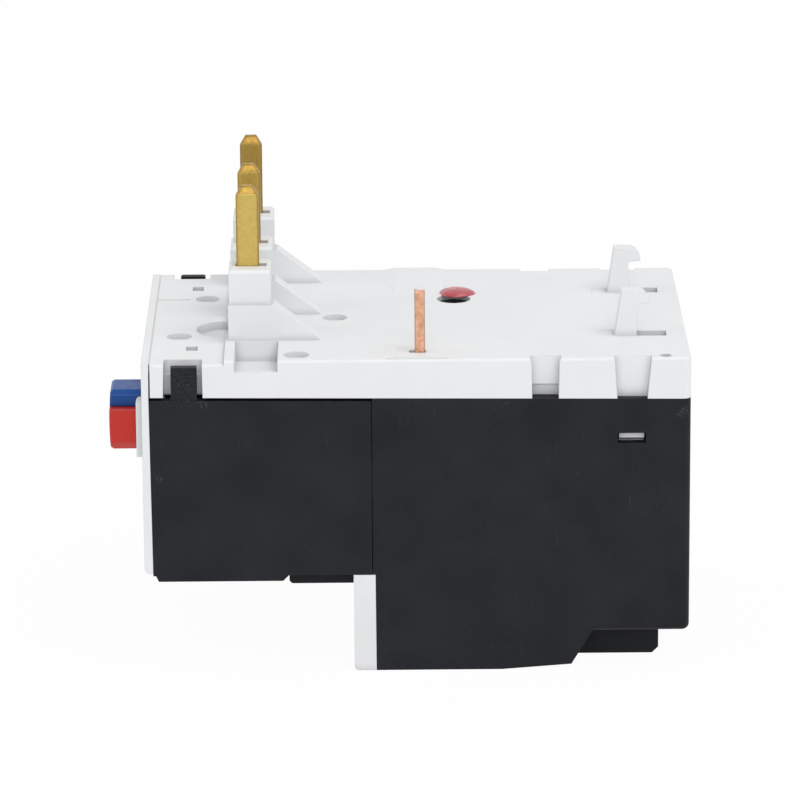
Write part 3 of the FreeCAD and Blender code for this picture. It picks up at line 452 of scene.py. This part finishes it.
def place_prism(name, outline, x0, x1, slot):
    """Closed prism on the housing: an outline in (depth, height) mm, drawn out from x0 to x1."""
    form = bmesh.new()
    near, far = ([form.verts.new(at(x, depth, z)) for depth, z in outline] for x in (x0, x1))
    form.faces.new(near)
    form.faces.new(far[::-1])
    for here in range(len(outline)):
        after = (here + 1) % len(outline)
        form.faces.new((near[here], far[here], far[after], near[after]))
    place_piece(name, mesh_of(form, name), "housing", slot)


def box_outline(d0, d1, z0, z1):
    """Outline of an upright rectangle between two depths and two heights."""
    return [(d0, z0), (d1, z0), (d1, z1), (d0, z1)]


def seam_laps():
    """Lips inside both walls that close the joint between the two black halves."""
    wall, gap, thick = 1.6, 0.05, 0.5
    ahead, behind = 0.7, 1.6            # reach past the joint
    foot, top = 13.6, rear_high.z / MM - 1.0
    face = HALF_W - wall - gap
    outline = box_outline(SEAM_D - ahead, SEAM_D + behind, foot, top)
    for side, name in ((1, "seam_lap_right"), (-1, "seam_lap_left")):
        place_prism(name, outline, side * (face - thick), side * face, "black_plastic")


def cover_lip():
    """White lip in the fine gap between the front cover and the lid."""
    gap_d = (0.055, 0.195)
    high = LID_TOP - 0.48
    low = LID_TOP - 1.65
    reach = HALF_W - 0.5
    place_prism("cover_lip", box_outline(*gap_d, low, high), -reach, reach, "white_plastic")


def sole_wedge():
    """Sloping end of the flat sole under the rear case."""
    bend_d, end_d = 44.8, 53.7
    rise, top = 0.64, 0.70
    reach = HALF_W - 0.01
    outline = [(bend_d, 0.0), (end_d, rise), (end_d, top), (bend_d, top)]
    place_prism("sole_wedge", outline, -reach, reach, "black_plastic")


def tab_crown():
    """Crown on the left latch tab, which stands a little higher than the right one."""
    d0, d1 = 2.87, 6.13
    foot, top = CASE_TOP - 0.05, CASE_TOP + 0.45
    inset, drop = 0.18, 0.1             # softened upper corners
    outer, width = HALF_W - 0.17, 1.11
    outline = [(d0, foot), (d1, foot), (d1, top - drop), (d1 - inset, top),
               (d0 + inset, top), (d0, top - drop)]
    place_prism("tab_crown", outline, -outer, width - outer, "black_plastic")


def pad_ramp():
    """Gentle inner slope of the raised pad at the left edge of the lid."""
    depths = (30.0, 31.5, 37.0, 38.2)
    flush, crown, sunk = -0.005, 0.3, -0.02     # heights from the lid's top
    heights = (flush, crown, crown, flush)
    outer, inner = HALF_W - 5.9, HALF_W - 12.5
    form = bmesh.new()

    def row(x, lifts):
        return [form.verts.new(at(-x, d, LID_TOP + lift)) for d, lift in zip(depths, lifts)]

    crest = row(outer, heights)
    toe = row(inner, [flush] * len(depths))
    low_crest = row(outer, [sunk] * len(depths))
    low_toe = row(inner, [sunk] * len(depths))
    for near, far in ((crest, toe), (toe, low_toe), (low_toe, low_crest), (low_crest, crest)):
        for here in range(len(depths) - 1):
            form.faces.new((near[here], near[here + 1], far[here + 1], far[here]))
    for end in (0, -1):
        form.faces.new((crest[end], toe[end], low_toe[end], low_crest[end]))
    place_piece("pad_ramp", mesh_of(form, "pad_ramp"), "housing", "white_plastic")


def scoop_floors():
    """Shallow floors in the scoops at the feet of the two hooks."""
    hook_foot_d = 59.7
    shallow, deep = hook_foot_d - 2.3, hook_foot_d - 0.32
    inner, outer = 9.17, 11.33          # from the middle of the lid
    outline = [(shallow, LID_TOP - 0.01), (deep, LID_TOP - 0.03), (deep, LID_TOP - 0.76)]
    for side, name in ((1, "scoop_floor_right"), (-1, "scoop_floor_left")):
        place_prism(name, outline, side * inner, side * outer, "white_plastic")


def lacquer_blob():
    """Irregular drop of sealing lacquer that has set over the calibration hole."""
    low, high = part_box("sealing_lacquer")
    run_left, fill = 1.2, 0.98          # mm off the middle, share of the CAD drop's radius
    wave, wave_rate = 0.09, 1.7         # unevenness of the outline
    tongue, tongue_power = 0.10, 4      # it reaches further towards the rear
    crown_power, rim_power = 2.6, 0.7   # flat crown, steep rim
    ripple_mm, ripple_rate, ripple_slice = 0.10, 4.0, 4.0
    sunk = 0.02                         # mm of its foot below the lid
    rings, turns = 12, 48
    middle = (low + high) / 2 - Vector((run_left * MM, 0, 0))
    wide = (high.x - low.x) / 2 * fill
    tall = high.z - low.z
    form = bmesh.new()

    def spot(share, turn):
        """Point of the surface at a share of the radius and a step round the drop."""
        angle = 2 * math.pi * turn / turns
        ray = Vector((math.cos(angle), math.sin(angle), 0))
        uneven = wave * noise.noise(ray * wave_rate)
        edge = 1 + uneven + tongue * max(0.0, ray.y) ** tongue_power
        height = tall * (1 - share ** crown_power) ** rim_power
        sample = Vector((ray.x * share, ray.y * share, ripple_slice)) * ripple_rate
        ripple = ripple_mm * MM * noise.noise(sample)
        flat = ray * share * edge * wide
        top = low.z + height + ripple * (1 - share)
        return Vector((middle.x + flat.x, middle.y + flat.y, top))

    crown = form.verts.new(spot(0.0, 0))
    loops = [[form.verts.new(spot(ring / rings, turn)) for turn in range(turns)]
             for ring in range(1, rings + 1)]
    foot = low.z - sunk * MM
    base = [form.verts.new(Vector((v.co.x, v.co.y, foot))) for v in loops[-1]]
    for turn in range(turns):
        after = (turn + 1) % turns
        form.faces.new((crown, loops[0][turn], loops[0][after]))
        for inner, outer in zip(loops, loops[1:] + [base]):
            form.faces.new((inner[turn], outer[turn], outer[after], inner[after]))
    form.faces.new(base[::-1])
    mesh = mesh_of(form, "lacquer_drop", smooth=True)
    drop = place_piece("lacquer_drop", mesh, "housing", "lacquer")
    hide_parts("sealing_lacquer")


def button_spring(node, turns, wire_r_mm):
    """Round-wire coil in place of the CAD spring, at its free length."""
    low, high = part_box(node)
    middle = (low + high) / 2
    wire = wire_r_mm * MM
    radius = (high.x - low.x) / 2 - wire
    free = high.y - low.y
    rise = free - 2 * wire
    steps_per_turn, sides = 24, 10      # sides of the wire's section
    steps = steps_per_turn * turns
    along = Vector((0, 1, 0))
    form = bmesh.new()
    rings = []
    for step in range(steps + 1):
        angle = 2 * math.pi * turns * step / steps
        across = Vector((math.cos(angle), 0, math.sin(angle)))
        foot = Vector((middle.x, low.y + wire + rise * step / steps, middle.z))
        centre = foot + across * radius
        tilts = [2 * math.pi * side / sides for side in range(sides)]
        rings.append([
            form.verts.new(centre + (across * math.cos(tilt) + along * math.sin(tilt)) * wire)
            for tilt in tilts])
    for near, far in zip(rings, rings[1:]):
        for side in range(sides):
            after = (side + 1) % sides
            form.faces.new((near[side], near[after], far[after], far[side]))
    form.faces.new(rings[0])
    form.faces.new(rings[-1][::-1])
    name = node + "_coil"
    spring = place_piece(name, mesh_of(form, name, smooth=True), "housing", "spring_steel")
    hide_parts(node)
    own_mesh(spring)


# ---------------------------------------------------------------- scale on the dial, in mm
DIAL_NUMBERS = ("12", "14", "16", "18")
DIAL_SWEEP = 150                # degrees from the first number to the last
LINES_PER_STEP = 3              # scale lines from one number to the next
LINE_END = 3.2                  # radius at which every line ends
LONG_START, SHORT_START = 2.75, 2.95
LINE_WIDTH = 0.13
NUMBER_RADIUS, NUMBER_HEIGHT = 2.15, 0.95
PRINT_HALF = 0.02               # half the thickness of the raised print


def flat_number(text):
    """Raised digits as a mesh, centred on the origin, in the XY plane."""
    curve = bpy.data.curves.new("digits_" + text, "FONT")
    curve.body = text
    curve.size = NUMBER_HEIGHT * MM
    curve.extrude = PRINT_HALF * MM
    curve.align_x = "CENTER"
    curve.align_y = "CENTER"
    holder = bpy.data.objects.new("digits_" + text, curve)
    bpy.context.scene.collection.objects.link(holder)
    bpy.context.view_layer.update()
    mesh = bpy.data.meshes.new_from_object(holder)
    bpy.data.objects.remove(holder)
    return mesh


def scale_line(start):
    """One raised line along +Y, pointed towards the middle and narrower at its top."""
    half = LINE_WIDTH / 2
    top_width, top_length = 2 / 3, 0.97     # shares of the foot
    point_end = start + 2 * half
    outline = [(0.0, start), (half, point_end), (half, LINE_END), (-half, LINE_END),
               (-half, point_end)]
    centre = (start + LINE_END) / 2
    foot = [(x * MM, y * MM, -PRINT_HALF * MM) for x, y in outline]
    crest = [(x * top_width * MM, (centre + (y - centre) * top_length) * MM, PRINT_HALF * MM)
             for x, y in outline]
    count = len(outline)
    sides = [(n, (n + 1) % count, (n + 1) % count + count, n + count) for n in range(count)]
    ends = [tuple(range(count))[::-1], tuple(range(count, 2 * count))]
    mesh = bpy.data.meshes.new("tick")
    mesh.from_pydata(foot + crest, [], ends + sides)
    return mesh


def dial_scale():
    """Plain numbers and scale lines on the setting dial, which turn with it."""
    low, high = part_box("setting_dial")
    face = Matrix.Translation(Vector(((low.x + high.x) / 2, low.y, (low.z + high.z) / 2)))
    upright = Matrix.Rotation(math.radians(90), 4, "X")
    steps = LINES_PER_STEP * (len(DIAL_NUMBERS) - 1)
    for step in range(steps + 1):
        angle = DIAL_SWEEP / 2 - DIAL_SWEEP * step / steps
        turn = Matrix.Rotation(math.radians(angle), 4, "Z")
        index, short = divmod(step, LINES_PER_STEP)
        line = scale_line(SHORT_START if short else LONG_START)
        line.transform(face @ upright @ turn)
        place_piece(f"dial_line_{step}", line, "setting_dial", "black_plastic")
        if not short:
            text = DIAL_NUMBERS[index]
            digits = flat_number(text)
            spot = turn @ Vector((0, NUMBER_RADIUS * MM, 0))
            digits.transform(face @ upright @ Matrix.Translation(spot))
            place_piece("dial_number_" + text, digits, "setting_dial", "black_plastic")


# ---------------------------------------------------------------- camera, light and floor
FOCAL_PX = 5450             # focal length of the photograph, in pixels of its frame
FRAME_PX = 800
SENSOR_MM = 36
EYE = Vector((685.9, -3.87, 227.5)) * MM
PITCH = math.radians(16.093)
YAW = math.radians(0.343)
ROLL = math.radians(-0.37)

LAMPS = (       # soft boxes: name, place in metres, side in metres, watts
    ("top_box", (0.25, 0.40, 0.78), 0.6, 2.75),
    ("side_box", (0.85, 0.02, 0.48), 0.5, 1.9),
    ("front_box", (0.1, -0.9, 0.45), 0.6, 1.6),
)
LAMP_AIM = Vector((0, 0, 0.03))         # middle of the relay
WORLD_LIGHT, WORLD_SEEN = 0.60, 1.02    # strength on the object, and behind it
FLOOR_WHITE = 0.965                     # the rest is the floor's own shading
FLOOR_HALF = 3.0
FLOOR_GAP = 0.02                        # in mm, under the part


def camera():
    """The photograph's view: from the right, a little above."""
    data = bpy.data.cameras.new("camera")
    data.sensor_width = SENSOR_MM
    data.lens = FOCAL_PX / FRAME_PX * data.sensor_width
    made = bpy.data.objects.new("camera", data)
    bpy.context.scene.collection.objects.link(made)
    bpy.context.scene.camera = made
    level = math.cos(PITCH)
    ahead = Vector((-level * math.cos(YAW), level * math.sin(YAW), -math.sin(PITCH)))
    turn = ahead.to_track_quat("-Z", "Y") @ Euler((0, 0, ROLL)).to_quaternion()
    made.location = EYE
    made.rotation_mode = "QUATERNION"
    made.rotation_quaternion = turn


def lights():
    """Soft boxes round the relay and an even white world."""
    for name, place, side, watts in LAMPS:
        data = bpy.data.lights.new(name, "AREA")
        data.energy = watts
        data.size = side
        lamp = bpy.data.objects.new(name, data)
        bpy.context.scene.collection.objects.link(lamp)
        lamp.location = Vector(place)
        lamp.rotation_euler = (LAMP_AIM - lamp.location).to_track_quat("-Z", "Y").to_euler()
    world = bpy.data.worlds.new("world")
    bpy.context.scene.world = world
    world.use_nodes = True
    tree = world.node_tree
    back = tree.nodes["Background"]
    strength = ramp(tree, seen_share(tree), 0.0, 1.0, WORLD_LIGHT, WORLD_SEEN)
    tree.links.new(strength, back.inputs["Strength"])
    back.inputs["Color"].default_value = (1, 1, 1, 1)


def floor():
    """Large level sheet just under the part."""
    half = FLOOR_HALF
    mesh = bpy.data.meshes.new("floor")
    sheet = [(-half, -half, 0), (half, -half, 0), (half, half, 0), (-half, half, 0)]
    mesh.from_pydata(sheet, [], [(0, 1, 2, 3)])
    made = bpy.data.objects.new("floor", mesh)
    bpy.context.scene.collection.objects.link(made)
    made.location.z = cad_low[2] - FLOOR_GAP * MM
    mesh.materials.append(floor_material(FLOOR_WHITE))


dress_cad_nodes()
seam_laps()
cover_lip()
sole_wedge()
tab_crown()
pad_ramp()
scoop_floors()
lacquer_blob()
button_spring("stop_spring", turns=4, wire_r_mm=0.24)
button_spring("reset_spring", turns=5, wire_r_mm=0.14)
dial_scale()
camera()
lights()
floor()
bpy.context.scene.view_settings.view_transform = "Standard"
